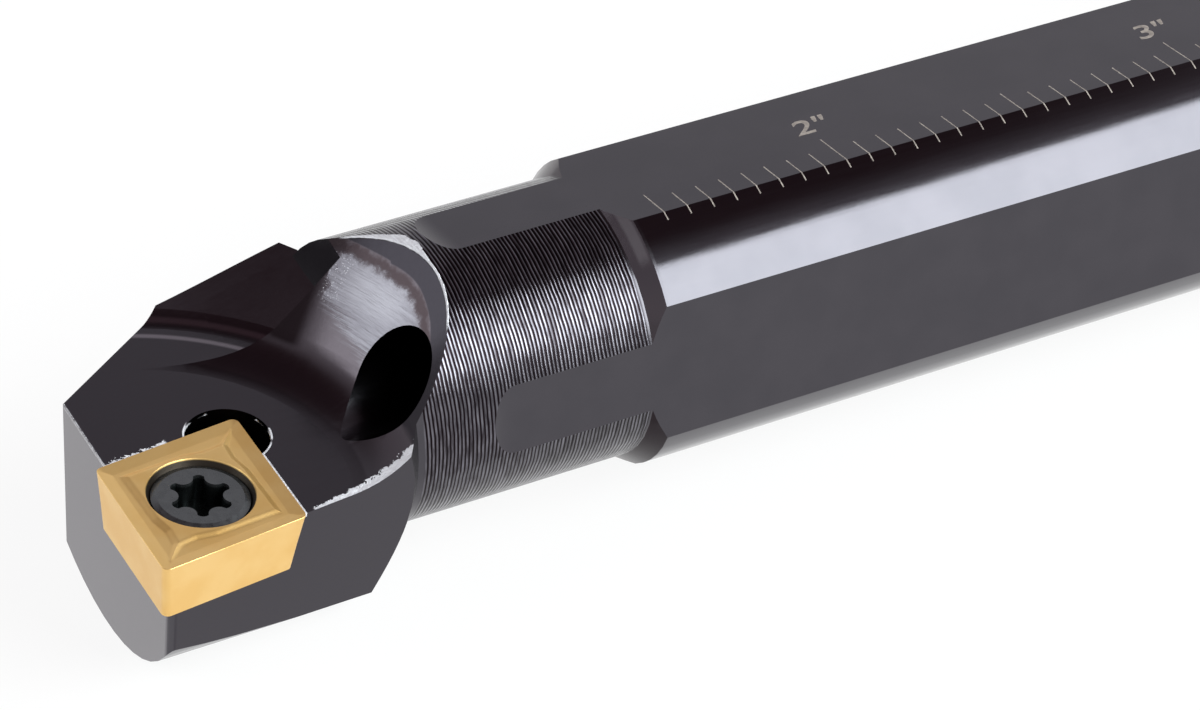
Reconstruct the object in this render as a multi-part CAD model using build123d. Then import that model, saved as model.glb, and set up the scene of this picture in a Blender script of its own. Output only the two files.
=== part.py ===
from build123d import *
import os
from math import cos, radians, sin, sqrt, tan

# Boring bar for internal turning: a round steel bar with a flatted shank, a turned neck and
# an eccentric head that carries one four-edged insert on a countersunk screw.
# Millimetres. X runs along the bar towards its rear end, Z is up, square to the shank's top
# flat, and the cutting corner looks towards -Y. The pieces are built with x = 0 at the
# cutting corner, and moved at the end so that x = 0 is the middle of the rear end face.

# Bar
BAR_D = 19.05
BAR_LENGTH = 254.0
REAR_CHAMFER = 1.0
FLAT_DEPTH = 1.125
FLAT_START = 24.4
FLAT_RUNOUT_R = 4.0

# Neck and its shoulder
NECK_STEP = 0.825
NECK_END = 33.55
SHOULDER_LENGTH = 1.0

# Head blank, an eccentric round larger than the bar
HEAD_LENGTH = 18.1
HEAD_GROWTH = 1.62
HEAD_MARGIN = 0.045
HEAD_BACK_ANGLE = 50.0
HEAD_BACK_SHIFT = 0.3
HEAD_CORNER_R = 0.45

# Cutting corner and the tilt of the insert
NOSE_REACH = 12.7
LEAD_ANGLE = 9.0
RADIAL_RAKE = 9.0
AXIAL_TILT = 2.0

# Insert, an 80 degree rhombus with relief on all sides
INSERT_CIRCLE = 9.525
INSERT_ANGLE = 80.0
INSERT_THICKNESS = 3.97
INSERT_RELIEF = 7.0
INSERT_NOSE_R = 0.4
INSERT_HOLE_D = 4.4
INSERT_SINK_D = 6.3
INSERT_SINK_ANGLE = 60.0
EDGE_WIDTH = 0.1
LAND_WIDTH = 0.8
LAND_DEPTH = 0.16
ISLAND_INSET = 1.15
LOBE_TIP = 1.07
LOBE_TIP_WIDTH = 0.4
LOBE_MIDDLE = 2.57
LOBE_MIDDLE_WIDTH = 0.62
LOBE_ROOT = 3.34
LOBE_ROOT_WIDTH = 1.45
LOBE_RUN = 3.2
ISLAND_TAPER = 30.0

# Screw
SCREW_D = 3.9
SCREW_HEAD_D = 5.7
SCREW_GRIP = 7.0
SCREW_CLEARANCE = 0.05
SOCKET_D = 3.75
SOCKET_DEPTH = 1.7
SOCKET_LOBES = 6

# Pocket and head faces
TOP_DROP = 0.06
SIDE_INSET = 0.3
FRONT_BACK = 0.93
FRONT_RELIEF = 2.0
FRONT_TURN = 1.8
RELIEF_HOLE_D = 5.0
RELIEF_HOLE_BACK = 1.75
RELIEF_HOLE_EXTRA = 0.4
FAR_CUT_Y = 3.0
FAR_CUT_ANGLE = 35.5

# Chip gullet: a flat floor with a conical wall, cut wider and shallower on the far side
FLOOR_X = 2.75
FLOOR_SIDE = 5.95
FLOOR_R = 13.6
WALL_ANGLE = 54.2
FLOOR_FILLET_R = 4.7
WIDE_R = 16.0
WIDE_ANGLE = 41.8
WIDE_FILLET_R = 2.0
WIDE_END = 19.1
WIDE_END_TURN = 11.3
WIDE_EDGE_X = 18.7
WIDE_EDGE_Y = 2.2
WIDE_EDGE_TURN = 10.8

# Coolant channel: a bore from the rear and a slanted drilling into the gullet
BORE_D = 6.2
COOLANT_D = 5.4
COOLANT_X = 17.6
COOLANT_SIDE = 5.1
COOLANT_UP = 2.75
COOLANT_YAW = 14.5
COOLANT_PITCH = 2.5
PORT_D = 8.6
PORT_DEPTH = 12.0

# Sizes that follow from the ones above
bar_r = BAR_D / 2
neck_r = bar_r - NECK_STEP
flat_z = bar_r - FLAT_DEPTH
head_r = bar_r + HEAD_GROWTH
head_offset = NOSE_REACH + HEAD_MARGIN - head_r
insert_side = INSERT_CIRCLE / sin(radians(INSERT_ANGLE))
relief = tan(radians(INSERT_RELIEF))
sink_depth = (INSERT_SINK_D - INSERT_HOLE_D) / 2 / tan(radians(INSERT_SINK_ANGLE / 2))


def make_seat():
    """Plane of the insert's top: origin at the sharp cutting corner, X along the side edge."""
    along = Vector(1, 0, 0).rotate(Axis.Z, LEAD_ANGLE)
    normal = Vector(0, 0, 1).rotate(Axis((0, 0, 0), along), RADIAL_RAKE)
    across = normal.cross(along)
    turn = Axis((0, 0, 0), across)
    along = along.rotate(turn, AXIAL_TILT)
    normal = normal.rotate(turn, AXIAL_TILT)
    return Plane(origin=(0, -NOSE_REACH, 0), x_dir=along, z_dir=normal)


SEAT = make_seat()


def rhombus(inset=0.0):
    """Corners of the insert's outline moved inwards, in the seat's own X and Y."""
    angle = radians(INSERT_ANGLE)
    long_step = inset / tan(angle / 2)
    side = insert_side - long_step - inset * tan(angle / 2)
    x0 = long_step
    return [
        (x0, inset),
        (x0 + side, inset),
        (x0 + side * (1 + cos(angle)), inset + side * sin(angle)),
        (x0 + side * cos(angle), inset + side * sin(angle)),
    ]


def centre_of_insert():
    """Middle of the rhombus, where the screw stands."""
    angle = radians(INSERT_ANGLE)
    return insert_side * (1 + cos(angle)) / 2, insert_side * sin(angle) / 2


def insert_face(inset, height, nose_r):
    """The insert's outline at one height, with its corners rounded."""
    face = make_face(Polyline(*rhombus(inset), close=True))
    return Pos(0, 0, height) * fillet(face.vertices(), nose_r)


def island_outline(shrink, height):
    """Raised middle of the insert's top, with a narrow lobe towards each sharp corner."""
    half = radians(INSERT_ANGLE / 2)
    plain = [Vector(*p) for p in rhombus(ISLAND_INSET + shrink)]

    def polar(distance, side):
        return Vector(cos(half), sin(half)) * distance + Vector(-sin(half), cos(half)) * side

    steps = [
        (LOBE_ROOT, LOBE_ROOT_WIDTH / 2 - shrink),
        (LOBE_MIDDLE, LOBE_MIDDLE_WIDTH / 2 - shrink),
        (LOBE_TIP + shrink, LOBE_TIP_WIDTH / 2 - shrink),
    ]
    near = [plain[0] + Vector(LOBE_RUN, 0)]
    near += [polar(distance, -side) for distance, side in steps]
    near += [polar(distance, side) for distance, side in reversed(steps)]
    near += [plain[0] + Vector(cos(2 * half), sin(2 * half)) * LOBE_RUN]
    middle = Vector(*centre_of_insert())
    far = [middle * 2 - p for p in near]
    outline = [plain[1]] + near + [plain[3]] + far
    return Pos(0, 0, height) * make_face(Polyline(*outline[::-1], close=True))


def make_insert():
    """Insert with relief, countersunk hole and a sunk land round its raised middle."""
    bottom_inset = INSERT_THICKNESS * relief
    top = insert_face(0, 0, INSERT_NOSE_R)
    bottom = insert_face(bottom_inset, -INSERT_THICKNESS, INSERT_NOSE_R)
    body = loft([bottom, top])
    low = insert_face(LAND_WIDTH, -LAND_DEPTH, INSERT_NOSE_R / 3)
    high = insert_face(2 * EDGE_WIDTH - LAND_WIDTH, LAND_DEPTH, INSERT_NOSE_R + LAND_WIDTH)
    sunk = loft([low, high])
    lean = LAND_DEPTH * tan(radians(ISLAND_TAPER))
    foot = island_outline(-lean / 4, -1.25 * LAND_DEPTH)
    island = loft([foot, island_outline(1.1 * lean, 0.1 * LAND_DEPTH)], ruled=True)
    body -= sunk - island
    cx, cy = centre_of_insert()
    body -= Pos(cx, cy, -INSERT_THICKNESS / 2) * Cylinder(INSERT_HOLE_D / 2, 2 * INSERT_THICKNESS)
    sink = Cone(INSERT_HOLE_D / 2, INSERT_SINK_D / 2, sink_depth)
    body -= Pos(cx, cy, -sink_depth / 2) * sink
    return SEAT * body


def socket_sketch():
    """Six-lobe drive outline."""
    shape = Circle(SOCKET_D * 0.40)
    for i in range(SOCKET_LOBES):
        turn = i * 360 / SOCKET_LOBES
        shape += Rot(0, 0, turn) * Pos(SOCKET_D * 0.39, 0) * Circle(SOCKET_D * 0.11)
    for i in range(SOCKET_LOBES):
        turn = (i + 0.5) * 360 / SOCKET_LOBES
        shape -= Rot(0, 0, turn) * Pos(SOCKET_D * 0.5, 0) * Circle(SOCKET_D * 0.165)
    return shape


def make_screw():
    """Countersunk screw whose cone bears on the insert's countersink."""
    slope = tan(radians(INSERT_SINK_ANGLE / 2))
    head_down = (INSERT_SINK_D - SCREW_HEAD_D) / 2 / slope
    top = -head_down + 0.3
    rim = -head_down
    neck = rim - (SCREW_HEAD_D - SCREW_D) / 2 / slope
    end = -INSERT_THICKNESS - SCREW_GRIP + 1.5
    profile = Polyline(
        (0, end),
        (SCREW_D / 2 - 0.5, end),
        (SCREW_D / 2, end + 0.5),
        (SCREW_D / 2, neck),
        (SCREW_HEAD_D / 2, rim),
        (SCREW_HEAD_D / 2, top - 0.15),
        (SCREW_HEAD_D / 2 - 0.35, top),
        (0, top),
        close=True,
    )
    screw = revolve(make_face(Plane.XZ * profile), Axis.Z)
    drive = extrude(socket_sketch(), SOCKET_DEPTH)
    screw -= Pos(0, 0, top - SOCKET_DEPTH + 0.001) * drive
    cx, cy = centre_of_insert()
    return SEAT * (Pos(cx, cy, 0) * screw)


def turned_bar():
    """Shank, shoulder and neck as one turned profile."""
    start = HEAD_LENGTH - 6.0
    profile = Polyline(
        (start, 0),
        (start, neck_r),
        (NECK_END, neck_r),
        (NECK_END + SHOULDER_LENGTH, bar_r),
        (BAR_LENGTH - REAR_CHAMFER, bar_r),
        (BAR_LENGTH, bar_r - REAR_CHAMFER),
        (BAR_LENGTH, 0),
        close=True,
    )
    return revolve(make_face(profile), Axis.X)


def flat_cutters():
    """Four long flats that run out on the neck along a cutter's radius."""
    width = 2 * bar_r
    length = BAR_LENGTH + 1 - FLAT_START
    slab = Pos(FLAT_START + length / 2, 0, flat_z + 2.5) * Box(length, width, 5)
    disc = Rot(90, 0, 0) * Cylinder(FLAT_RUNOUT_R, width)
    disc = Pos(FLAT_START, 0, flat_z + FLAT_RUNOUT_R) * disc
    return [Rot(quarter * 90, 0, 0) * tool for quarter in range(4) for tool in (slab, disc)]


def head_blank():
    """Eccentric round head, faced back to a cone at the rear."""
    section = Pos(-head_offset, 0) * Circle(head_r)
    plane = Plane(origin=(0, 0, 0), x_dir=(0, 1, 0), z_dir=(1, 0, 0))
    blank = extrude(plane * section, HEAD_LENGTH + 1)
    slope = tan(radians(HEAD_BACK_ANGLE))
    reach = head_offset + head_r + 2
    cone_length = (reach - neck_r) / slope
    profile = Polyline(
        (-1, 0),
        (-1, reach),
        (HEAD_LENGTH - cone_length, reach),
        (HEAD_LENGTH, neck_r),
        (HEAD_LENGTH, 0),
        close=True,
    )
    limit = revolve(make_face(profile), Axis.X)
    return blank & (Pos(0, HEAD_BACK_SHIFT, 0) * limit)


def on_seat_level(x, y):
    """Point of the head's top plane straight above x and y."""
    normal = SEAT.z_dir
    base = SEAT.origin - normal * TOP_DROP
    z = base.Z - (normal.X * (x - base.X) + normal.Y * (y - base.Y)) / normal.Z
    return Vector(x, y, z)


def side_cutter():
    """Everything outside the head's near face, which follows the insert's flank."""
    far = 3 * HEAD_LENGTH
    run = far * relief
    profile = Polyline(
        (SIDE_INSET - run, far),
        (SIDE_INSET + run, -far),
        (-far, -far),
        (-far, far),
        close=True,
    )
    plane = Plane(origin=(-far, 0, 0), x_dir=(0, 1, 0), z_dir=(1, 0, 0))
    return SEAT * extrude(plane * make_face(profile), 2 * far)


def front_cutter():
    """Everything in front of the head's end face."""
    size = 8 * bar_r
    corner = on_seat_level(FRONT_BACK, 0)
    tilt = Rot(0, 0, -FRONT_TURN) * Rot(0, -FRONT_RELIEF, 0)
    return Pos(corner) * (tilt * (Pos(-size / 2, 0, 0) * Box(size, size, size)))


def far_cutter():
    """Cut across the head's far front corner, square to the top plane."""
    size = 8 * bar_r
    block = Pos(0, size / 2, 0) * Box(size, size, size)
    along = Vector(1, 0, 0).rotate(Axis.Z, FAR_CUT_ANGLE)
    across = SEAT.z_dir.cross(along)
    corner = on_seat_level(FRONT_BACK, FAR_CUT_Y)
    return Plane(origin=corner, x_dir=across.cross(SEAT.z_dir), z_dir=SEAT.z_dir) * block


def floor_tool(foot_r, wall_angle, fillet_r):
    """Turned shape that leaves a flat floor, a fillet and a conical wall, set on the head."""
    angle = radians(wall_angle)
    tangent = fillet_r * tan(angle / 2)
    high = 3 * bar_r
    inner = foot_r - tangent
    foot = (foot_r + tangent * cos(angle), tangent * sin(angle))
    top = (foot_r + high / tan(angle), high)
    middle = (
        inner + fillet_r * sin(angle / 2),
        fillet_r * (1 - cos(angle / 2)),
    )
    outline = [
        Line((0, 0), (inner, 0)),
        ThreePointArc((inner, 0), middle, foot),
        Line(foot, top),
        Line(top, (0, high)),
        Line((0, high), (0, 0)),
    ]
    centre = on_seat_level(FLOOR_X, -FLOOR_SIDE)
    place = Plane(origin=centre, x_dir=SEAT.x_dir, z_dir=SEAT.z_dir)
    return place * revolve(make_face(Plane.XZ * Curve(outline)), Axis.Z)


def wide_tool():
    """The wider, shallower pass, kept to the far side of the head."""
    size = 8 * bar_r
    side = Rot(0, 0, -WIDE_EDGE_TURN) * (Pos(0, size / 2, 0) * Box(2 * size, size, 2 * size))
    return floor_tool(WIDE_R, WIDE_ANGLE, WIDE_FILLET_R) & (Pos(WIDE_EDGE_X, WIDE_EDGE_Y, 0) * side)


def gullet_cutters():
    """The deep pass, and the wide one up to the wall that it leaves on the neck."""
    size = 8 * bar_r
    end = Rot(0, 0, WIDE_END_TURN) * (Pos(-size / 2, 0, 0) * Box(size, 2 * size, 2 * size))
    deep = floor_tool(FLOOR_R, WALL_ANGLE, FLOOR_FILLET_R)
    return [deep, wide_tool() & (Pos(WIDE_END, 0, 0) * end)]


def pocket_cutter():
    """Pocket for the insert, open to the front and to the near side."""
    bottom_inset = INSERT_THICKNESS * relief
    low = rhombus(bottom_inset)
    away = 6.0
    angle = radians(INSERT_ANGLE)

    def opened(points, level):
        a, b, c, d = [Vector(*p) for p in points]
        a = a - Vector(away, away)
        b = b - Vector(cos(angle), sin(angle)) * away
        d = d - Vector(away, 0)
        return Pos(0, 0, level) * make_face(Polyline(a, b, c, d, close=True))

    rise = 3.0
    over = rhombus(-rise * relief)
    tool = loft([opened(low, -INSERT_THICKNESS), opened(over, rise)])
    corner = rhombus()[2]
    diagonal = angle / 2
    hx = corner[0] - RELIEF_HOLE_BACK * cos(diagonal)
    hy = corner[1] - RELIEF_HOLE_BACK * sin(diagonal)
    depth = INSERT_THICKNESS + RELIEF_HOLE_EXTRA
    hole = Pos(hx, hy, -depth / 2 + rise / 2) * Cylinder(RELIEF_HOLE_D / 2, depth + rise)
    return [SEAT * tool, SEAT * hole]


def screw_hole():
    """Tapping bore under the insert, right through the head."""
    cx, cy = centre_of_insert()
    depth = INSERT_THICKNESS + 2 * head_r
    return SEAT * (Pos(cx, cy, -depth / 2) * Cylinder(SCREW_D / 2 + SCREW_CLEARANCE, depth))


def coolant_cutters():
    """Rear port, axial bore and the slanted drilling that opens in the gullet."""
    yaw = radians(COOLANT_YAW)
    meet = COOLANT_X + COOLANT_SIDE / tan(yaw)
    axial_length = BAR_LENGTH - meet + BORE_D
    axial = Cylinder(BORE_D / 2, axial_length)
    axial = Pos(BAR_LENGTH - axial_length / 2, 0, 0) * (Rot(0, 90, 0) * axial)
    way = Vector(1, 0, 0).rotate(Axis.Y, COOLANT_PITCH).rotate(Axis.Z, COOLANT_YAW)
    mouth = Vector(COOLANT_X, -COOLANT_SIDE, COOLANT_UP)
    ahead = 1.2 * COOLANT_D
    length = ahead + COOLANT_SIDE / sin(yaw)
    drill = Pos(0, 0, length / 2) * Cylinder(COOLANT_D / 2, length)
    slant = Plane(origin=mouth - way * ahead, x_dir=(0, 0, 1), z_dir=way) * drill
    port = Rot(0, 90, 0) * Cylinder(PORT_D / 2, PORT_DEPTH)
    return [axial, slant, Pos(BAR_LENGTH - PORT_DEPTH / 2, 0, 0) * port]


def make_head():
    """Head with its front, near and far faces, rounded under the cutting corner."""
    head = head_blank()
    head -= front_cutter()
    head -= side_cutter()
    edges = [e for e in head.edges() if e.geom_type == GeomType.LINE]
    edges = [e for e in edges if e.center().X < FRONT_BACK + 2 and e.center().Y < -NOSE_REACH / 2]
    head = fillet(edges, HEAD_CORNER_R)
    return head - far_cutter() - wide_tool()


def make_body():
    """Bar body, one piece of steel."""
    body = turned_bar()
    for tool in flat_cutters():
        body -= tool
    body += make_head()
    for tool in gullet_cutters() + pocket_cutter():
        body -= tool
    body -= screw_hole()
    for tool in coolant_cutters():
        body -= tool
    return body


if __name__ == "__main__":
    os.makedirs("parts", exist_ok=True)
    to_rear = Pos(-BAR_LENGTH, 0, 0)
    export_step(to_rear * make_body(), "parts/bar_body.step")
    export_step(to_rear * make_insert(), "parts/insert.step")
    export_step(to_rear * make_screw(), "parts/insert_screw.step")
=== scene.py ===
# %% [markdown]
# # A boring bar, dressed from its CAD model
#
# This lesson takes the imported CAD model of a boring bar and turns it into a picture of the
# real thing: a black-oxided steel bar with milled flats, a turned neck with fine tool lines,
# an inch scale marked on its top flat, and a gold-coloured cutting insert held by a dark
# six-lobe screw. Every size is in metres, in the CAD's own frame. The bar lies along X, its
# rear end is at x = 0 and the cutting corner is at x = -0.254, looking towards -Y.

# %% Load the frame
import math

import bmesh
import bpy
from mathutils import Matrix, Vector


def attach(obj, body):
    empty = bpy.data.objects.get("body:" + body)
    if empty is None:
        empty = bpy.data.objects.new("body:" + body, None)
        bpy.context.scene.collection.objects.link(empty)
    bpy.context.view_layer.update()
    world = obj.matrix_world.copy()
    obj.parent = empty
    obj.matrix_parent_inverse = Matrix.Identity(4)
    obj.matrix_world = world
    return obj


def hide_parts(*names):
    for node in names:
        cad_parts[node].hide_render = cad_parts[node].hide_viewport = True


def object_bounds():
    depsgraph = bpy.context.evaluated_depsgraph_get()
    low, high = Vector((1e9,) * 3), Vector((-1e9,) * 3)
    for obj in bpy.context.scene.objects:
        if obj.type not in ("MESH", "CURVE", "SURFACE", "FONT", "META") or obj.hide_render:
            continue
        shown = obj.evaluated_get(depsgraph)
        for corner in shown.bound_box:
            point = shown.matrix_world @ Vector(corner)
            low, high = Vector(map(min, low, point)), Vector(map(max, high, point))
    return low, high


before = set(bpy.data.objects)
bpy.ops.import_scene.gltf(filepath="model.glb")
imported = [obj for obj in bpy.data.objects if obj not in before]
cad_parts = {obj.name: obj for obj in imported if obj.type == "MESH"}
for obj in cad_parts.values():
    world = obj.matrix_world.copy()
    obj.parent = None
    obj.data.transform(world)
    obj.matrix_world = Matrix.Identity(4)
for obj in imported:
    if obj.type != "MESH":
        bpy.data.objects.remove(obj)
CAD_BOX = [list(corner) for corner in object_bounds()]
BODY = "root"
MM = 0.001
NOSE_X = -254.0
print("CAD box", CAD_BOX)
print("nodes", sorted(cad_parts))

# %% [markdown]
# ## The camera
#
# The camera stands where the photographer's stood. Its place and turn were worked out from
# straight edges whose real lengths are known, the inch scale above all. Two directions of the
# camera are written down; with the third, worked out from them, they become the columns of its rotation.

# %% Camera
PHOTO_WIDTH = 1200
FOCAL_PIXELS = 4506.8
SENSOR_MM = 36.0
CAMERA_PLACE = Vector((-334.282, -205.589, 136.078)) * MM
CAMERA_RIGHT = Vector((0.86928, -0.49418, -0.01172))
CAMERA_DOWN = Vector((-0.26017, -0.43724, -0.86089))


def make_camera():
    """Camera at the photograph's place, looking the same way."""
    data = bpy.data.cameras.new("camera")
    data.sensor_width = SENSOR_MM
    data.lens = FOCAL_PIXELS / PHOTO_WIDTH * SENSOR_MM
    data.clip_start = 0.01
    data.clip_end = 20.0
    camera = bpy.data.objects.new("camera", data)
    bpy.context.scene.collection.objects.link(camera)
    right = CAMERA_RIGHT.normalized()
    up = -(CAMERA_DOWN - right * CAMERA_DOWN.dot(right)).normalized()
    turn = Matrix((right, up, right.cross(up))).transposed()
    camera.matrix_world = Matrix.Translation(CAMERA_PLACE) @ turn.to_4x4()
    bpy.context.scene.camera = camera
    return camera


camera = make_camera()
print("lens", round(camera.data.lens, 1), "mm")

# %% [markdown]
# ## Small helpers for materials
#
# Each finish is a network of shader nodes. These helpers add one node at a time, link its
# inputs and hand back its output, so that a finish reads like a sum.


# %% Node helpers
class Finish:
    """One procedural material, built by adding nodes to it."""

    def __init__(self, name):
        self.material = bpy.data.materials.new(name)
        self.material.use_nodes = True
        self.tree = self.material.node_tree
        self.bsdf = self.tree.nodes["Principled BSDF"]
        self.out = self.tree.nodes["Material Output"]
        self.coords = self.add("ShaderNodeTexCoord")
        self.normal = self.coords.outputs["Normal"]
        self.mm = self.scaled_place()

    def add(self, kind, **settings):
        node = self.tree.nodes.new(kind)
        for name, value in settings.items():
            setattr(node, name, value)
        return node

    def put(self, socket, value):
        """Link an output to the socket, or set the socket's own value."""
        if isinstance(value, bpy.types.NodeSocket):
            self.tree.links.new(value, socket)
        else:
            socket.default_value = value

    def math(self, operation, a, b=0.0, c=0.0):
        node = self.add("ShaderNodeMath", operation=operation)
        for socket, value in zip(node.inputs, (a, b, c)):
            self.put(socket, value)
        return node.outputs[0]

    def product(self, first, *others):
        for value in others:
            first = self.math("MULTIPLY", first, value)
        return first

    def total(self, first, *others):
        for value in others:
            first = self.math("ADD", first, value)
        return first

    def length(self, a, b):
        return self.math("SQRT", self.total(self.product(a, a), self.product(b, b)))

    def along(self, vector, direction):
        """Part of a vector that lies along a fixed direction."""
        node = self.add("ShaderNodeVectorMath", operation="DOT_PRODUCT")
        self.put(node.inputs[0], vector)
        self.put(node.inputs[1], tuple(direction))
        return node.outputs["Value"]

    def local(self, origin, axes):
        """Place measured from an origin along three axes, in millimetres."""
        return [self.math("SUBTRACT", self.along(self.mm, axis), axis.dot(origin)) for axis in axes]

    def joined(self, x, y, z):
        node = self.add("ShaderNodeCombineXYZ")
        for socket, value in zip(node.inputs, (x, y, z)):
            self.put(socket, value)
        return node.outputs[0]

    def scaled_place(self):
        """Place on the object in millimetres, with x = 0 at the cutting corner."""
        node = self.add("ShaderNodeVectorMath", operation="MULTIPLY_ADD")
        self.put(node.inputs[0], self.coords.outputs["Object"])
        self.put(node.inputs[1], (1 / MM, 1 / MM, 1 / MM))
        self.put(node.inputs[2], (-NOSE_X, 0.0, 0.0))
        return node.outputs[0]

    def axis(self, vector=None):
        node = self.add("ShaderNodeSeparateXYZ")
        self.put(node.inputs[0], vector or self.mm)
        return node.outputs

    def stretched(self, x, y, z):
        node = self.add("ShaderNodeVectorMath", operation="MULTIPLY")
        self.put(node.inputs[0], self.mm)
        self.put(node.inputs[1], (x, y, z))
        return node.outputs[0]

    def noise(self, scale, detail=3.0, rough=0.5, at=None, low=0.35, high=0.65):
        """Noise between 0 and 1, scale in cycles per millimetre."""
        node = self.add("ShaderNodeTexNoise")
        self.put(node.inputs["Vector"], at or self.mm)
        self.put(node.inputs["Scale"], scale)
        self.put(node.inputs["Detail"], detail)
        self.put(node.inputs["Roughness"], rough)
        return self.ramp(node.outputs["Fac"], low, high)

    def ramp(self, value, low, high, to_low=0.0, to_high=1.0, smooth=True):
        node = self.add("ShaderNodeMapRange")
        node.interpolation_type = "SMOOTHSTEP" if smooth else "LINEAR"
        for socket, item in zip(node.inputs, (value, low, high, to_low, to_high)):
            self.put(socket, item)
        return node.outputs[0]

    def mix(self, factor, a, b):
        """Blend two colours."""
        node = self.add("ShaderNodeMix", data_type="RGBA")
        self.put(node.inputs[0], factor)
        for socket, value in ((node.inputs[6], a), (node.inputs[7], b)):
            self.put(socket, value if isinstance(value, bpy.types.NodeSocket) else (*value, 1.0))
        return node.outputs[2]

    def blend(self, factor, a, b):
        """Blend two numbers."""
        node = self.add("ShaderNodeMix", data_type="FLOAT")
        self.put(node.inputs[0], factor)
        self.put(node.inputs[2], a)
        self.put(node.inputs[3], b)
        return node.outputs[0]

    def bump(self, height, distance, before=None):
        """Bump whose height is given in millimetres."""
        node = self.add("ShaderNodeBump")
        self.put(node.inputs["Height"], height)
        self.put(node.inputs["Distance"], distance * MM)
        if before is not None:
            self.put(node.inputs["Normal"], before)
        return node.outputs[0]

    def inside(self, value, low, high, soft):
        """1 where value is between low and high."""
        up = self.ramp(value, low - soft, low + soft)
        down = self.ramp(value, high - soft, high + soft, 1.0, 0.0)
        return self.math("MULTIPLY", up, down)

    def surface(self, **values):
        for name, value in values.items():
            socket = self.bsdf.inputs[name.replace("_", " ")]
            if isinstance(value, tuple) and len(value) == 3:
                value = (*value, 1.0)
            self.put(socket, value)
        return self.material


def shade(*channels):
    """Screen colour from 0 to 255 as the linear colour that Blender works in."""
    out = []
    for c in channels:
        c /= 255
        out.append(c / 12.92 if c <= 0.04045 else ((c + 0.055) / 1.055) ** 2.4)
    return tuple(out)


def mesh_object(name, mesh_maker, material):
    """New object from a function that fills a bmesh; it rides on the bar."""
    mesh = bpy.data.meshes.new(name)
    bm = bmesh.new()
    mesh_maker(bm)
    bmesh.ops.recalc_face_normals(bm, faces=bm.faces)
    bm.to_mesh(mesh)
    bm.free()
    mesh.materials.append(material)
    item = bpy.data.objects.new(name, mesh)
    bpy.context.scene.collection.objects.link(item)
    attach(item, BODY)
    return item


print("helpers ready")

# %% [markdown]
# ## Where things are on the head
#
# The head's floor is level with the insert's top, which leans in two directions. Its three
# axes are worked out from the same angles as in the CAD model, and the marks on the head are
# then placed in those axes: distances from the cutting corner, or from the middle that the
# gullet's cutter swung about.

# %% Axes of the insert's seat
LEAD_ANGLE = 9.0
RADIAL_RAKE = 9.0
AXIAL_TILT = 2.0


def seat_axes():
    """Along the side edge, across it and out of the insert's top."""
    along = Matrix.Rotation(math.radians(LEAD_ANGLE), 3, "Z") @ Vector((1, 0, 0))
    normal = Matrix.Rotation(math.radians(RADIAL_RAKE), 3, along) @ Vector((0, 0, 1))
    across = normal.cross(along)
    tilt = Matrix.Rotation(math.radians(AXIAL_TILT), 3, across)
    along, normal = tilt @ along, tilt @ normal
    return along, normal.cross(along), normal


SEAT = seat_axes()
CORNER = Vector((0.0, -12.7, 0.0))
GULLET_MIDDLE = Vector((2.75, -5.95, 0.794))
print("seat normal", tuple(round(v, 3) for v in SEAT[2]))

# %% [markdown]
# ## Black-oxided steel
#
# The bar is machined steel turned dark brown-black by an oxide bath. It stays a metal, so its
# colour tints what it mirrors, and the machining shows through it. The neck has the ridges
# that the lathe's tool left; their grooves are dark from oxide and painted shade, and their
# crests carry a painted highlight. The gullet has a light satin patch with a ragged edge where
# the cutter's side ran, lightened by a painted highlight, and faint arcs on the floor where it
# swung. The wall beyond the patch, the near face and the head's top are darkened with painted
# shade, the end face is lightened with painted light, and a crescent on the shoulder is a
# painted highlight.

# %% Marks on the neck
OXIDE = shade(77, 75, 80)
OXIDE_WORN = shade(101, 97, 102)
OXIDE_DEEP = shade(78, 72, 77)
# Bare metal for worn edges and specks; on the shoulder the same colour is a painted highlight.
BARE_AND_GLINT = shade(236, 236, 242)
# Painted light: the end face is made lighter than the rest of the oxide.
END_FACE_PAINTED_LIGHT = shade(108, 105, 110)
# Painted shade: the near face is made darker than the rest of the oxide.
NEAR_FACE_PAINTED_SHADE = shade(66, 63, 69)
# Painted shade: the head's top round the gullet is made darker.
HEAD_TOP_PAINTED_SHADE = shade(65, 62, 67)
NECK_FRONT = 18.3
NECK_REAR = 33.4
NECK_RADIUS = 8.7
SHOULDER_END = 34.7
RIDGE_PITCH = 0.25


def neck_marks(f):
    """Masks for the neck's round and the shoulder, and the ridges from 0 to 1."""
    x, y, z = f.axis()
    _, ny, nz = f.axis(f.normal)
    radius = f.length(y, z)
    outwards = f.math("DIVIDE", f.total(f.product(y, ny), f.product(z, nz)), radius)
    at_radius = f.inside(radius, NECK_RADIUS - 0.05, NECK_RADIUS + 0.2, 0.02)
    on_neck = f.product(f.inside(x, NECK_FRONT, NECK_REAR, 0.1), at_radius)
    on_neck = f.product(on_neck, f.ramp(outwards, 0.985, 0.995))
    wobble = f.noise(0.35, 2.0, low=0.0, high=1.0)
    turn = f.math("FRACT", f.math("DIVIDE", f.math("ADD", x, f.product(wobble, 0.14)), RIDGE_PITCH))
    crest = f.ramp(f.math("ABSOLUTE", f.math("SUBTRACT", turn, 0.5)), 0.0, 0.5, 1.0, 0.0)
    on_shoulder = f.ramp(outwards, 0.75, 0.85, 1.0, 0.0)
    on_shoulder = f.product(f.inside(x, NECK_REAR, SHOULDER_END, 0.05), on_shoulder)
    around = f.math("MULTIPLY", f.math("ARCTAN2", f.math("MULTIPLY", y, -1.0), z), 180 / math.pi)
    return on_neck, crest, on_shoulder, around, radius


# %% Marks in the gullet
# The patch's colour is partly burnished metal and partly a painted highlight.
PATCH_WITH_SHEEN = shade(141, 139, 147)
RIM = shade(47, 44, 49)
SEAM = shade(56, 48, 51)
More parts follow.
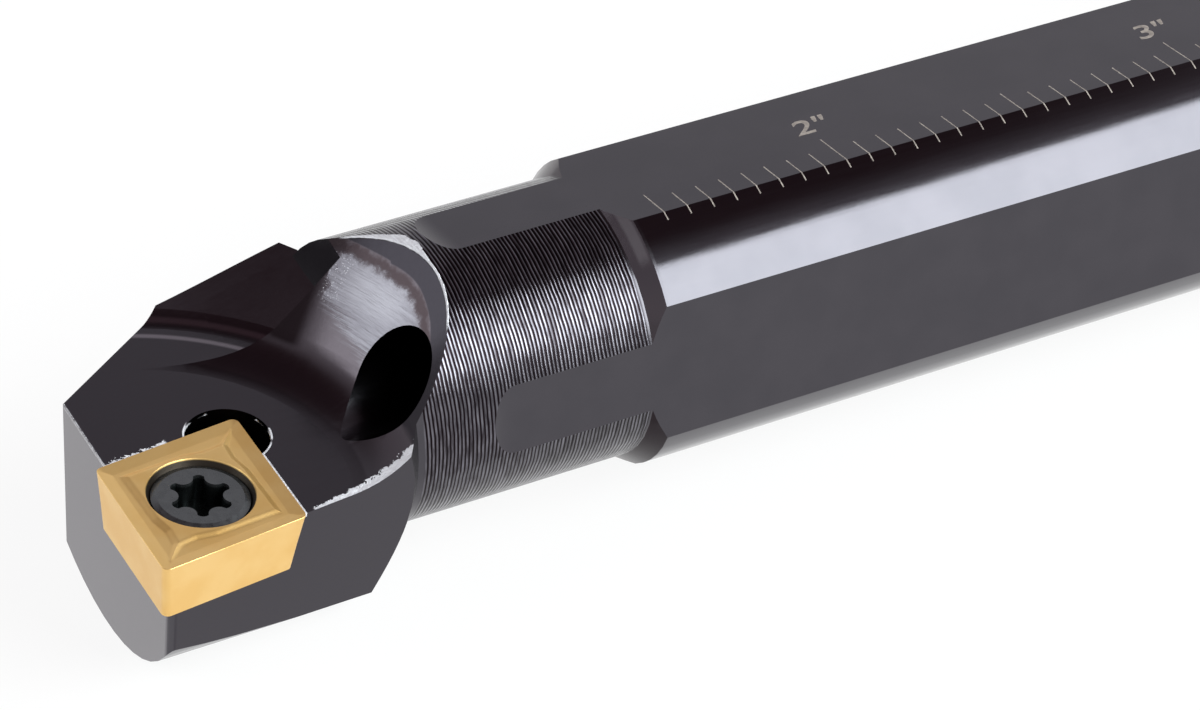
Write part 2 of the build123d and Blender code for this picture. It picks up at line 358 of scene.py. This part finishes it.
# Painted shade on the gullet's wall beyond the satin patch.
WALL_PAINTED_SHADE = shade(38, 31, 34)
WALL_FOOT_R = 13.6
WALL_SLOPE = 0.721
PATCH_EDGE = 21.5
PATCH_TOP = 7.0
RIM_RADIUS = 7.55


def gullet_marks(f):
    """Masks in the gullet: its walls, the satin area and its painted highlight, the rim's face, the
    floor's arcs.
    """
    u, v, w = f.local(GULLET_MIDDLE, SEAT)
    r = f.length(u, v)
    nu, nv, nw = [f.along(f.normal, axis) for axis in SEAT]
    facing = f.math("DIVIDE", f.total(f.product(u, nu), f.product(v, nv)), f.product(r, -1.0))
    radius = f.length(*f.axis()[1:])
    wall = f.product(f.ramp(facing, 0.15, 0.6), f.ramp(r, 10.5, 12.0), f.ramp(nw, 0.2, 0.4))
    deep = f.product(f.ramp(facing, 0.72, 0.77), wall)
    turn = f.math("MULTIPLY", f.math("ARCTAN2", v, u), 180 / math.pi)
    ragged = f.noise(1.5, 5.0, 0.65, low=0.2, high=0.8)
    swung = f.joined(f.product(turn, 0.06), f.product(w, 4.5), 0.0)
    lines = f.noise(1.0, 3.0, 0.7, at=swung, low=0.3, high=0.7)
    left = f.ramp(f.total(turn, f.product(ragged, 3.0)), PATCH_EDGE + 0.6, PATCH_EDGE + 2.6, 1.0, 0.0)
    low = f.total(w, f.product(turn, -0.1), -1.8)
    bottom = f.ramp(f.total(low, f.product(lines, 0.9)), 0.0, 1.4)
    beside = f.math("ADD", radius, -RIM_RADIUS)
    beside = f.math("ADD", beside, f.ramp(turn, 11.0, 16.0, 0.0, -3.0))
    over = f.math("MAXIMUM", f.math("ADD", w, -PATCH_TOP), beside)
    top = f.ramp(f.total(over, f.product(ragged, 0.6)), -0.75, 0.05, 1.0, 0.0)
    # Burnished metal lightened by a painted highlight; its lower edge follows the height up the wall.
    patch = f.product(deep, left, bottom, top)
    rim = f.product(deep, f.ramp(over, 0.0, 0.1))
    specks = f.product(deep, f.inside(turn, PATCH_EDGE - 3.5, PATCH_EDGE + 1.0, 0.6), top,
                       f.ramp(w, 3.6, 4.6), f.noise(8.0, 3.0, 0.75, low=0.6, high=0.68))
    seam = f.inside(f.total(over, f.product(ragged, 0.4)), -0.35, 0.2, 0.2)
    seam = f.product(deep, seam, f.ramp(over, 0.0, 0.1, 1.0, 0.0))
    # Painted shade: the deep wall past the patch's left edge.
    beyond = f.product(f.ramp(facing, 0.68, 0.75), wall, f.ramp(turn, PATCH_EDGE - 0.5, PATCH_EDGE + 3.0))
    cone = f.total(r, f.product(w, -WALL_SLOPE), -WALL_FOOT_R)
    reach = f.ramp(f.math("ABSOLUTE", f.math("ADD", turn, -12.5)), 0.0, 9.0, 0.75, 0.05)
    lip = f.product(f.inside(radius, 8.6, 8.8, 0.03), f.ramp(turn, 21.0, 23.0, 1.0, 0.0),
                    f.math("LESS_THAN", cone, f.product(reach, f.ramp(ragged, 0.0, 1.0, 0.8, 1.15))),
                    f.ramp(cone, -0.3, -0.2), f.ramp(turn, -8.0, -6.0))
    shifted = f.length(f.math("ADD", u, 0.54), f.math("ADD", v, 0.54))
    arcs = f.math("MAXIMUM", f.inside(r, 15.75, 16.2, 0.15), f.inside(shifted, 15.05, 15.4, 0.12))
    arcs = f.product(arcs, f.ramp(nw, 0.85, 0.93), f.ramp(turn, 4.0, 14.0))
    # Painted highlight: a lighter glow low in the satin patch.
    painted_sheen = f.product(f.inside(w, 4.4, 6.3, 0.8), f.inside(turn, 4.0, 18.0, 4.0))
    return wall, patch, rim, specks, lip, arcs, lines, painted_sheen, seam, beyond


# %% Bright edges
def side_edge(f, x, y, z, chips):
    """Worn chamfer between the near face and the top, wider towards the rear."""
    inwards = f.total(y, f.product(z, 0.1228), -0.3)
    width = f.product(f.ramp(x, 10.4, 17.2, 0.22, 0.85, smooth=False), f.ramp(chips, 0.0, 1.0, 0.6, 1.25))
    near = f.math("LESS_THAN", inwards, width)
    below = f.product(f.math("MAXIMUM", f.product(z, -1.0), 0.0), f.ramp(x, 16.0, 16.4, 1.0, 0.0))
    close = f.math("LESS_THAN", f.total(below, inwards), f.math("ADD", width, 0.1))
    nw = f.along(f.normal, SEAT[2])
    reach = f.product(f.ramp(x, 10.3, 10.5), f.ramp(x, 18.6, 18.9, 1.0, 0.0))
    return f.product(near, close, reach, f.ramp(nw, 0.2, 0.4))


def pocket_edges(f, x, y, z, chips):
    """Worn edges round the pocket and the relief hole, on the head's top."""
    on_top = f.inside(z, -0.35, 0.1, 0.03)
    width = f.ramp(chips, 0.25, 1.0, 0.05, 0.42)
    far = f.product(f.math("LESS_THAN", f.total(y, -9.525), width), f.inside(x, 1.4, 6.6, 0.1))
    far = f.product(far, f.math("GREATER_THAN", y, 9.4))
    angle = math.radians(80.0)
    beyond = f.total(f.product(x, math.sin(angle)), f.product(y, -math.cos(angle)), -9.525)
    back = f.product(f.inside(beyond, -0.05, 0.13, 0.02), f.inside(y, -0.2, 7.2, 0.1))
    hole = f.length(f.math("ADD", x, -10.01), f.math("ADD", y, -8.4))
    rim = f.product(f.inside(hole, 2.45, 2.6, 0.02), f.noise(0.5, 2.0, low=0.48, high=0.54))
    every = f.math("MAXIMUM", f.math("MAXIMUM", far, back), rim)
    return f.product(every, on_top)


def front_edge(f, x, y, z, chips):
    """Rough bevel where the end face meets the top, as a thin light line."""
    place = f.axis()[0]
    across = f.total(place, f.product(f.axis()[1], -0.0314), -0.93)
    line = f.product(f.inside(across, 0.0, 0.07, 0.03), f.inside(z, -0.3, 0.1, 0.03))
    return f.product(line, f.ramp(chips, 0.2, 0.7, 0.2, 0.7))


# %% Steel finish
def steel_finish():
    """Oxided steel with the lathe's ridges, the cutter's marks and worn edges, plus painted light and
    shade.
    """
    f = Finish("oxided_steel")
    on_neck, crest, on_shoulder, around, radius = neck_marks(f)
    wall, patch, rim, specks, lip, arcs, lines, painted_sheen, seam, beyond = gullet_marks(f)
    x, y, z = f.local(CORNER, SEAT)
    chips = f.noise(2.2, 4.0, 0.7, low=0.25, high=0.75)
    edges = f.math("MAXIMUM", side_edge(f, x, y, z, chips), pocket_edges(f, x, y, z, chips))
    edges = f.math("MAXIMUM", edges, front_edge(f, x, y, z, chips))
    edges = f.math("MAXIMUM", edges, f.product(lip, 0.85))
    grain = f.noise(5.0, 3.0, 0.6, at=f.stretched(0.05, 1.0, 1.0), low=0.2, high=0.8)
    grit = f.noise(12.0, 2.0, 0.6, low=0.2, high=0.8)
    cloud = f.noise(0.25, 3.0, 0.55, low=0.3, high=0.7)
    streak = f.noise(1.0, 3.0, 0.6, at=f.stretched(6.0, 0.7, 0.7), low=0.25, high=0.75)
    colour = f.mix(f.product(cloud, 0.12), OXIDE, OXIDE_WORN)
    nx, ny, _ = f.axis(f.normal)
    place = f.axis()[0]
    # Painted light on the end face, picked out by which way it faces.
    end_face_light = f.product(f.ramp(nx, -0.97, -0.9, 1.0, 0.0), f.ramp(place, 1.5, 2.0, 1.0, 0.0))
    # Painted shade on the near face, picked out by which way it faces.
    near_face_shade = f.product(f.ramp(ny, -0.95, -0.9, 1.0, 0.0), f.inside(place, 0.5, 17.5, 0.3))
    colour = f.mix(end_face_light, colour, END_FACE_PAINTED_LIGHT)
    colour = f.mix(near_face_shade, colour, NEAR_FACE_PAINTED_SHADE)
    # Painted shade on the head's top, picked out by its facing and height.
    head_top_shade = f.product(f.ramp(f.along(f.normal, SEAT[2]), 0.98, 0.99), f.inside(z, -0.2, 0.15, 0.05))
    colour = f.mix(f.product(head_top_shade, f.ramp(place, 18.0, 18.3, 1.0, 0.0)), colour, HEAD_TOP_PAINTED_SHADE)
    # Painted highlight on the ridges' crests, and painted shade in the grooves on top of the oxide they
    # hold.
    crest_highlight = f.mix(streak, shade(58, 55, 60), shade(124, 122, 130))
    ridges_oxide_and_light = f.mix(f.ramp(crest, 0.15, 0.85), shade(24, 18, 21), crest_highlight)
    colour = f.mix(on_neck, colour, ridges_oxide_and_light)
    colour = f.mix(f.product(on_shoulder, 0.9), colour, shade(38, 30, 33))
    # Painted highlight: a white crescent on the shoulder, only from 20 to 44 degrees round the bar, with
    # little metal in it.
    shoulder_glint = f.product(on_shoulder, f.inside(around, 20.0, 44.0, 3.0))
    shoulder_glint = f.product(shoulder_glint, f.inside(place, 33.95, 34.45, 0.1))
    colour = f.mix(shoulder_glint, colour, BARE_AND_GLINT)
    colour = f.mix(wall, colour, OXIDE_DEEP)
    # Painted shade on the wall beyond the patch.
    colour = f.mix(beyond, colour, WALL_PAINTED_SHADE)
    colour = f.mix(rim, colour, RIM)
    # The patch's colour: burnished metal with a painted highlight, and a painted glow low in it.
    satin_and_sheen = f.mix(f.product(painted_sheen, 0.8), f.mix(lines, shade(122, 119, 127), PATCH_WITH_SHEEN), shade(158, 156, 164))
    colour = f.mix(patch, colour, satin_and_sheen)
    colour = f.mix(seam, colour, SEAM)
    colour = f.mix(specks, colour, BARE_AND_GLINT)
    colour = f.mix(arcs, colour, shade(122, 117, 123))
    colour = f.mix(edges, colour, BARE_AND_GLINT)
    worn = f.math("MAXIMUM", f.math("MAXIMUM", edges, specks), patch)
    on_round = f.product(f.ramp(radius, 9.46, 9.5), f.ramp(place, SHOULDER_END, SHOULDER_END + 0.1))
    rough = f.math("ADD", f.product(grain, 0.05), f.blend(on_round, 0.17, 0.09))
    rough = f.blend(worn, rough, 0.4)
    normal = f.bump(f.product(crest, on_neck), 0.022)
    normal = f.bump(f.product(patch, lines), 0.01, normal)
    normal = f.bump(f.product(edges, chips), 0.08, normal)
    normal = f.bump(grain, 0.0006, normal)
    normal = f.bump(grit, 0.0006, normal)
    metal = f.math("SUBTRACT", 1.0, f.math("MAXIMUM", f.product(edges, 0.6), f.product(shoulder_glint, 0.85)))
    return f.surface(Base_Color=colour, Metallic=metal, Roughness=rough, Normal=normal)


STEEL = steel_finish()
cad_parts["bar_body"].data.materials.clear()
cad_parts["bar_body"].data.materials.append(STEEL)
print("steel on bar_body, faces", len(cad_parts["bar_body"].data.polygons))

# %% [markdown]
# ## The insert's gold coating
#
# The insert is hard metal under a thin gold-coloured coating. It is a satin metal finish,
# a touch lighter where the pressed top catches the light.

# %% Insert finish
GOLD = shade(236, 197, 128)
GOLD_DEEP = shade(231, 188, 115)
# Painted shade: a dark ring at the edge of the screw's sink.
SINK_RING_SHADE = shade(46, 40, 34)
INSERT_MIDDLE = CORNER + SEAT[0] * (4.7625 / math.tan(math.radians(40))) + SEAT[1] * 4.7625


def coating_finish():
    """Gold-coloured hard coating with a faint pressed grain."""
    f = Finish("gold_coating")
    cloud = f.noise(0.35, 3.0, 0.5)
    grit = f.noise(22.0, 2.0, 0.6, low=0.2, high=0.8)
    colour = f.mix(cloud, GOLD_DEEP, GOLD)
    u, v, _ = f.local(INSERT_MIDDLE, SEAT)
    # Painted shade in the gap round the screw head.
    colour = f.mix(f.ramp(f.length(u, v), 3.08, 3.15, 1.0, 0.0), colour, SINK_RING_SHADE)
    rough = f.math("ADD", f.math("MULTIPLY", grit, 0.08), 0.34)
    normal = f.bump(grit, 0.0015)
    return f.surface(Base_Color=colour, Metallic=0.85, Roughness=rough, Normal=normal)


COATING = coating_finish()
print("coating ready")

# %% [markdown]
# ## The insert's pressed top
#
# The insert's top is pressed: from the cutting edge a land slopes down to the foot of a raised
# middle, whose walls swing in beside each sharp corner and leave a narrow rib. The mesh is a
# row of rings, from the hole out to the edge, down the flanks and back along the underside.
# Every ring has the same number of points, so that neighbours join up one to one. The height
# of a point on the top follows from its distance to the edge and to the middle's outline.

# %% Insert outline
INSERT_CIRCLE = 9.525
INSERT_ANGLE = math.radians(80.0)
INSERT_THICKNESS = 3.97
INSERT_RELIEF = math.tan(math.radians(7.0))
INSERT_SIDE = INSERT_CIRCLE / math.sin(INSERT_ANGLE)
INSERT_NOSE_R = 0.4
HOLE_R = 2.2
SINK_R = 3.15
SINK_DEPTH = 1.645
ARC_STEPS = 10
SIDE_STEPS = 76


def rhombus(inset):
    """Corners of the outline, moved inwards."""
    x0 = inset / math.tan(INSERT_ANGLE / 2)
    side = INSERT_SIDE - x0 - inset * math.tan(INSERT_ANGLE / 2)
    lean = Vector((math.cos(INSERT_ANGLE), math.sin(INSERT_ANGLE)))
    first = Vector((x0, inset))
    along = Vector((side, 0.0))
    return [first, first + along, first + along + lean * side, first + lean * side]


def outline(inset, height):
    """Points round the insert at one height, with rounded corners."""
    corners = rhombus(inset)
    stations = []
    for i, here in enumerate(corners):
        back = (corners[i - 1] - here).normalized()
        ahead = (corners[(i + 1) % 4] - here).normalized()
        half = back.angle(ahead) / 2
        middle = here + (back + ahead).normalized() * INSERT_NOSE_R / math.sin(half)
        start = here + back * INSERT_NOSE_R / math.tan(half) - middle
        sweep = math.pi - 2 * half
        turns = [Matrix.Rotation(sweep * k / ARC_STEPS, 2) for k in range(ARC_STEPS + 1)]
        stations.append([middle + turn @ start for turn in turns])
    points = []
    for i, arc in enumerate(stations):
        points += arc
        begin, end = arc[-1], stations[(i + 1) % 4][0]
        points += [begin.lerp(end, k / SIDE_STEPS) for k in range(1, SIDE_STEPS)]
    return [Vector((p.x, p.y, height)) for p in points]


# %% Insert top
MIDDLE = (rhombus(0)[0] + rhombus(0)[2]) / 2
ISLAND_INSET = 1.15
LOBE_TIP = 1.07
LOBE_TIP_HALF = 0.08
LOBE_MIDDLE = 2.6
LOBE_MIDDLE_HALF = 0.27
LOBE_ROOT = 3.5
LOBE_ROOT_HALF = 0.93
LOBE_START = 4.22
LOBE_START_HALF = 1.89
LAND_DEPTH = 0.16
LAND_WIDTH = 0.8
WALL_WIDTH = 0.5
TOP_RINGS = 46
KEEP_IN = 0.004


def island_outline():
    """Outline of the raised middle, with the same lobe towards each sharp corner."""
    half = INSERT_ANGLE / 2
    ahead = Vector((math.cos(half), math.sin(half)))
    aside = Vector((-math.sin(half), math.cos(half)))
    steps = [(LOBE_START, LOBE_START_HALF), (LOBE_ROOT, LOBE_ROOT_HALF)]
    steps += [(LOBE_MIDDLE, LOBE_MIDDLE_HALF), (LOBE_TIP, LOBE_TIP_HALF)]
    near = [ahead * distance - aside * width for distance, width in steps]
    near += [ahead * distance + aside * width for distance, width in reversed(steps)]
    far = [MIDDLE * 2 - p for p in near]
    plain = rhombus(ISLAND_INSET)
    return [plain[1]] + near + [plain[3]] + far


ISLAND = island_outline()


def inside_island(p):
    """Distance to the island's outline, positive inside it."""
    least = 1e9
    inside = False
    for a, b in zip(ISLAND, ISLAND[1:] + ISLAND[:1]):
        ax, ay, bx, by = a.x, a.y, b.x, b.y
        dx, dy = bx - ax, by - ay
        t = ((p.x - ax) * dx + (p.y - ay) * dy) / (dx * dx + dy * dy)
        t = min(1.0, max(0.0, t))
        least = min(least, math.hypot(p.x - ax - t * dx, p.y - ay - t * dy))
        if (ay > p.y) != (by > p.y) and p.x < (p.y - ay) * dx / dy + ax:
            inside = not inside
    return least if inside else -least


def from_edge(p, rim):
    """Distance to the insert's edge; rim is the edge point on the same spoke."""
    lean = p.x * math.sin(INSERT_ANGLE) - p.y * math.cos(INSERT_ANGLE)
    return min(p.y, INSERT_CIRCLE - p.y, lean, INSERT_CIRCLE - lean, (p - rim).length)


def top_height(p, rim):
    land = -LAND_DEPTH * min(from_edge(p, rim) / LAND_WIDTH, 1.0)
    t = min(1.0, max(0.0, (inside_island(p) + 0.1) / WALL_WIDTH))
    return land - land * t * t * (3 - 2 * t)


def ring_round_hole(radius, height, rims):
    """Circle whose points face the rim's points."""
    points = []
    for rim in rims:
        spoke = (rim.xy - MIDDLE).normalized() * radius
        points.append(Vector((MIDDLE.x + spoke.x, MIDDLE.y + spoke.y, height)))
    return points


def insert_rings():
    rims = outline(KEEP_IN, 0.0)
    floor = -INSERT_THICKNESS
    rings = [ring_round_hole(HOLE_R, floor, rims), ring_round_hole(HOLE_R, -SINK_DEPTH, rims)]
    rings.append(ring_round_hole(SINK_R - 0.05, -0.087, rims))
    hole = ring_round_hole(SINK_R, 0.0, rims)
    for k in range(TOP_RINGS):
        share = k / (TOP_RINGS - 1) * 0.994
        points = [a.lerp(b, share) for a, b in zip(hole, rims)]
        rings.append([Vector((p.x, p.y, top_height(p.xy, b.xy))) for p, b in zip(points, rims)])
    rings.append(outline(KEEP_IN, -0.02))
    rings.append(outline(INSERT_RELIEF * 2.0, -2.0))
    rings.append(outline(INSERT_RELIEF * INSERT_THICKNESS - 0.03, floor + 0.03))
    rings.append(outline(INSERT_RELIEF * INSERT_THICKNESS + 0.03, floor))
    return rings


def on_seat(p):
    """Place on the bar, in metres, of a point given in the seat's axes."""
    local = CORNER + SEAT[0] * p.x + SEAT[1] * p.y + SEAT[2] * p.z
    return (local + Vector((NOSE_X, 0, 0))) * MM


def fill_insert(bm):
    rows = [[bm.verts.new(on_seat(p)) for p in ring] for ring in insert_rings()]
    count = len(rows[0])
    for a, b in zip(rows, rows[1:] + rows[:1]):
        for i in range(count):
            j = (i + 1) % count
            bm.faces.new((a[i], a[j], b[j], b[i]))


insert = mesh_object("pressed_insert", fill_insert, COATING)
insert.data.shade_smooth()
insert.data.set_sharp_from_angle(angle=math.radians(28))
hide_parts("insert")
print("insert faces", len(insert.data.polygons))

# %% [markdown]
# ## The screw
#
# The screw is black-oxided too, and smoother than the bar.

# %% Screw finish
SCREW_DARK = shade(101, 104, 106)


def screw_finish():
    """Dark screw steel with a faint mottle, and painted shade down in the drive's socket."""
    f = Finish("screw_black")
    cloud = f.noise(1.6, 3.0, 0.6)
    colour = f.mix(cloud, shade(92, 95, 97), SCREW_DARK)
    u, v, w = f.local(INSERT_MIDDLE, SEAT)
    # Painted shade down in the drive's socket.
    socket = f.product(f.ramp(w, -0.5, -0.35, 1.0, 0.0), f.ramp(f.length(u, v), 1.9, 2.0, 1.0, 0.0))
    colour = f.mix(socket, colour, shade(52, 56, 57))
    grit = f.noise(18.0, 2.0, 0.6, low=0.2, high=0.8)
    return f.surface(Base_Color=colour, Metallic=0.9, Roughness=f.blend(cloud, 0.22, 0.34),
                     Normal=f.bump(grit, 0.001))


SCREW = screw_finish()
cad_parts["insert_screw"].data.materials.clear()
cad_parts["insert_screw"].data.materials.append(SCREW)
print("screw finish set")

# %% [markdown]
# ## The inch scale
#
# The scale on the top flat lets the user read how far the bar stands out of its holder. The
# marks are etched, so they are almost flush: each tick is a hair-thin strip that lies on the
# flat and bends over the edge onto the round, and each figure is flat lettering cut from
# Blender's own font, leaned over and thickened.

# %% Ticks of the scale
FLAT_Z = 8.4
BAR_R = 9.525
SCALE_ZERO = -1.45
SIXTEENTH = 25.4 / 16
FIRST_TICK = 24
LAST_TICK = 152
TICK_LONG = 2.98
TICK_HALF = 2.41
TICK_SHORT = 1.77
TICK_OVER = 0.6
TICK_WIDTH = 0.08
PROUD = 0.004


def etched_finish():
    """Pale etched metal."""
    f = Finish("etched_marks")
    worn = f.noise(3.0, 3.0, 0.6, low=0.3, high=0.7)
    colour = f.mix(worn, shade(134, 125, 120), shade(174, 165, 157))
    return f.surface(Base_Color=colour, Metallic=0.35, Roughness=f.blend(worn, 0.5, 0.62))


ETCHED = etched_finish()


def on_bar(x, across, lift):
    """Point on the top flat, or past its near edge on the round; x from the cutting corner."""
    edge = math.sqrt(BAR_R ** 2 - FLAT_Z ** 2)
    if across <= 0:
        y, z = -edge - across, FLAT_Z + lift
    else:
        angle = math.asin(edge / BAR_R) + across / BAR_R
        y, z = -(BAR_R + lift) * math.sin(angle), (BAR_R + lift) * math.cos(angle)
    return Vector((x + NOSE_X, y, z)) * MM


def add_tick(bm, x, length):
    """One strip, closed like a thin plate."""
    steps = [-length, -length * 0.5, 0.0, TICK_OVER * 0.5, TICK_OVER]
    half = TICK_WIDTH / 2
    rows = []
    for across in steps:
        rows.append([bm.verts.new(on_bar(x + side, across, lift))
                     for side, lift in ((-half, PROUD), (half, PROUD), (half, -0.05), (-half, -0.05))])
    for a, b in zip(rows, rows[1:]):
        for i in range(4):
            j = (i + 1) % 4
            bm.faces.new((a[i], a[j], b[j], b[i]))
    bm.faces.new(rows[0][::-1])
    bm.faces.new(rows[-1])


def fill_ticks(bm):
    for k in range(FIRST_TICK, LAST_TICK + 1):
        length = TICK_SHORT
        if k % 16 == 0:
            length = TICK_LONG
        elif k % 8 == 0:
            length = TICK_HALF
        add_tick(bm, SCALE_ZERO + k * SIXTEENTH, length)


ticks = mesh_object("scale_ticks", fill_ticks, ETCHED)
print("ticks", LAST_TICK - FIRST_TICK + 1)

# %% Figures of the scale
FIGURE_HEIGHT = 1.7
FIGURE_WIDTH = 2.7
FIGURE_LEFT = -0.9
FIGURE_LEAN = 0.22
FIGURE_BOLD = 0.025
FIGURE_EDGE = 4.0


CAPITAL_SHARE = 0.69
FIGURE_PROUD = 0.006


def make_figure(number):
    """The number and its inch mark, read from the near side, lying on the top flat."""
    data = bpy.data.curves.new(f"figure_{number}", "FONT")
    data.body = f"{number}\""
    data.size = FIGURE_HEIGHT * MM / CAPITAL_SHARE
    data.shear = FIGURE_LEAN
    data.offset = FIGURE_BOLD * MM
    data.extrude = FIGURE_PROUD * MM
    data.fill_mode = "BOTH"
    text = bpy.data.objects.new(f"figure_{number}", data)
    bpy.context.scene.collection.objects.link(text)
    bpy.context.view_layer.update()
    mesh = bpy.data.meshes.new_from_object(text)
    bpy.data.objects.remove(text)
    edge = math.sqrt(BAR_R ** 2 - FLAT_Z ** 2)
    place = Vector((NOSE_X + SCALE_ZERO + 25.4 * number + FIGURE_LEFT, -edge + FIGURE_EDGE, FLAT_Z)) * MM
    left = min(v.co.x for v in mesh.vertices)
    width = max(v.co.x for v in mesh.vertices) - left
    mesh.transform(Matrix.Translation(Vector((-left, 0, 0))))
    mesh.transform(Matrix.Diagonal((FIGURE_WIDTH * MM / width, 1, 1, 1)))
    mesh.transform(Matrix.Translation(place))
    mesh.materials.clear()
    mesh.materials.append(ETCHED)
    item = bpy.data.objects.new(f"scale_figure_{number}", mesh)
    bpy.context.scene.collection.objects.link(item)
    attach(item, BODY)
    return item


figures = [make_figure(number) for number in range(2, 10)]
print("figures", len(figures))

# %% [markdown]
# ## Floor, light and background
#
# The photograph is a studio shot on pure white. The floor takes a soft shadow, and the rays
# that the camera, mirrors and glass send see it as white. A plain white floor could do the
# same, but it would need brighter lamps, and they would bleach the bar. Two softboxes stand to
# the right and left of the camera, 27 degrees up. The world is a pale sweep under a dark
# overhead, the same to every ray, so polished rounds show pale bands and dark ones.

# %% Studio
FLOOR_Z = CAD_BOX[0][2]
AIM = Vector((-0.215, 0.0, 0.0))
FLOOR_GLOW = 1.03
FLOOR_SHARE = 0.86
LAMP_DISTANCE = 0.7
LAMP_RISE = 27
SKY = [(0.0, 0.6, 0.6, 0.61), (0.2, 0.8, 0.79, 0.8), (0.47, 0.66, 0.65, 0.68),
       (0.71, 0.6, 0.57, 0.6), (0.85, 0.12, 0.07, 0.08), (1.0, 0.1, 0.06, 0.07)]


def floor_finish():
    """Pale floor that looks white and keeps the shadow."""
    f = Finish("studio_floor")
    f.surface(Base_Color=(0.9, 0.9, 0.9), Roughness=0.9, Specular_IOR_Level=0.0)
    path = f.add("ShaderNodeLightPath")
    mirrored = f.math("MAXIMUM", path.outputs["Is Glossy Ray"], path.outputs["Is Transmission Ray"])
    seen = f.math("MAXIMUM", path.outputs["Is Camera Ray"], mirrored)
    glow = f.add("ShaderNodeEmission")
    f.put(glow.inputs["Color"], (1.0, 1.0, 1.0, 1.0))
    f.put(glow.inputs["Strength"], FLOOR_GLOW)
    both = f.add("ShaderNodeMixShader")
    f.put(both.inputs[0], f.math("MULTIPLY", seen, FLOOR_SHARE))
    f.put(both.inputs[1], f.bsdf.outputs[0])
    f.put(both.inputs[2], glow.outputs[0])
    f.put(f.out.inputs["Surface"], both.outputs[0])
    return f.material


def make_floor(size=6.0):
    mesh = bpy.data.meshes.new("floor")
    corners = [(-size, -size), (size, -size), (size, size), (-size, size)]
    mesh.from_pydata([(x, y, FLOOR_Z) for x, y in corners], [], [(0, 1, 2, 3)])
    mesh.materials.append(floor_finish())
    floor = bpy.data.objects.new("floor", mesh)
    bpy.context.scene.collection.objects.link(floor)
    return floor


def make_world():
    """A pale sweep round the horizon under a dark ceiling, the same to every ray."""
    world = bpy.data.worlds.new("studio")
    bpy.context.scene.world = world
    world.use_nodes = True
    tree = world.node_tree
    background = tree.nodes["Background"]
    split = tree.nodes.new("ShaderNodeSeparateXYZ")
    place = tree.nodes.new("ShaderNodeTexCoord")
    tree.links.new(place.outputs["Generated"], split.inputs[0])
    sky = tree.nodes.new("ShaderNodeValToRGB")
    tree.links.new(split.outputs[2], sky.inputs[0])
    stops = sky.color_ramp.elements
    while len(stops) < len(SKY):
        stops.new(0.5)
    for stop, (height, *colour) in zip(stops, SKY):
        stop.position = height
        stop.color = (*colour, 1.0)
    tree.links.new(sky.outputs[0], background.inputs["Color"])
    return world


def softbox(name, place, aim, size, power):
    """Rectangular lamp at place, turned to aim, a little cooler than the room."""
    data = bpy.data.lights.new(name, "AREA")
    data.shape = "RECTANGLE"
    data.size, data.size_y = size
    data.energy = power
    data.color = (0.92, 1.0, 0.99)
    lamp = bpy.data.objects.new(name, data)
    bpy.context.scene.collection.objects.link(lamp)
    look = (Vector(aim) - Vector(place)).to_track_quat("-Z", "Y")
    lamp.matrix_world = Matrix.Translation(Vector(place)) @ look.to_matrix().to_4x4()
    return lamp


def away(distance, turn, rise):
    """Point seen from the bar at a turn from +X towards +Y and a rise, in degrees."""
    turn, rise = math.radians(turn), math.radians(rise)
    flat = distance * math.cos(rise)
    return Vector((flat * math.cos(turn), flat * math.sin(turn), distance * math.sin(rise))) + AIM


make_floor()
make_world()
softbox("front_right", away(LAMP_DISTANCE, -52, LAMP_RISE), AIM, (0.75, 0.46), 8.8)
softbox("front_left", away(LAMP_DISTANCE, 160, LAMP_RISE), AIM, (0.5, 0.25), 1.0)
bpy.context.scene.view_settings.view_transform = "Standard"
print("studio set")
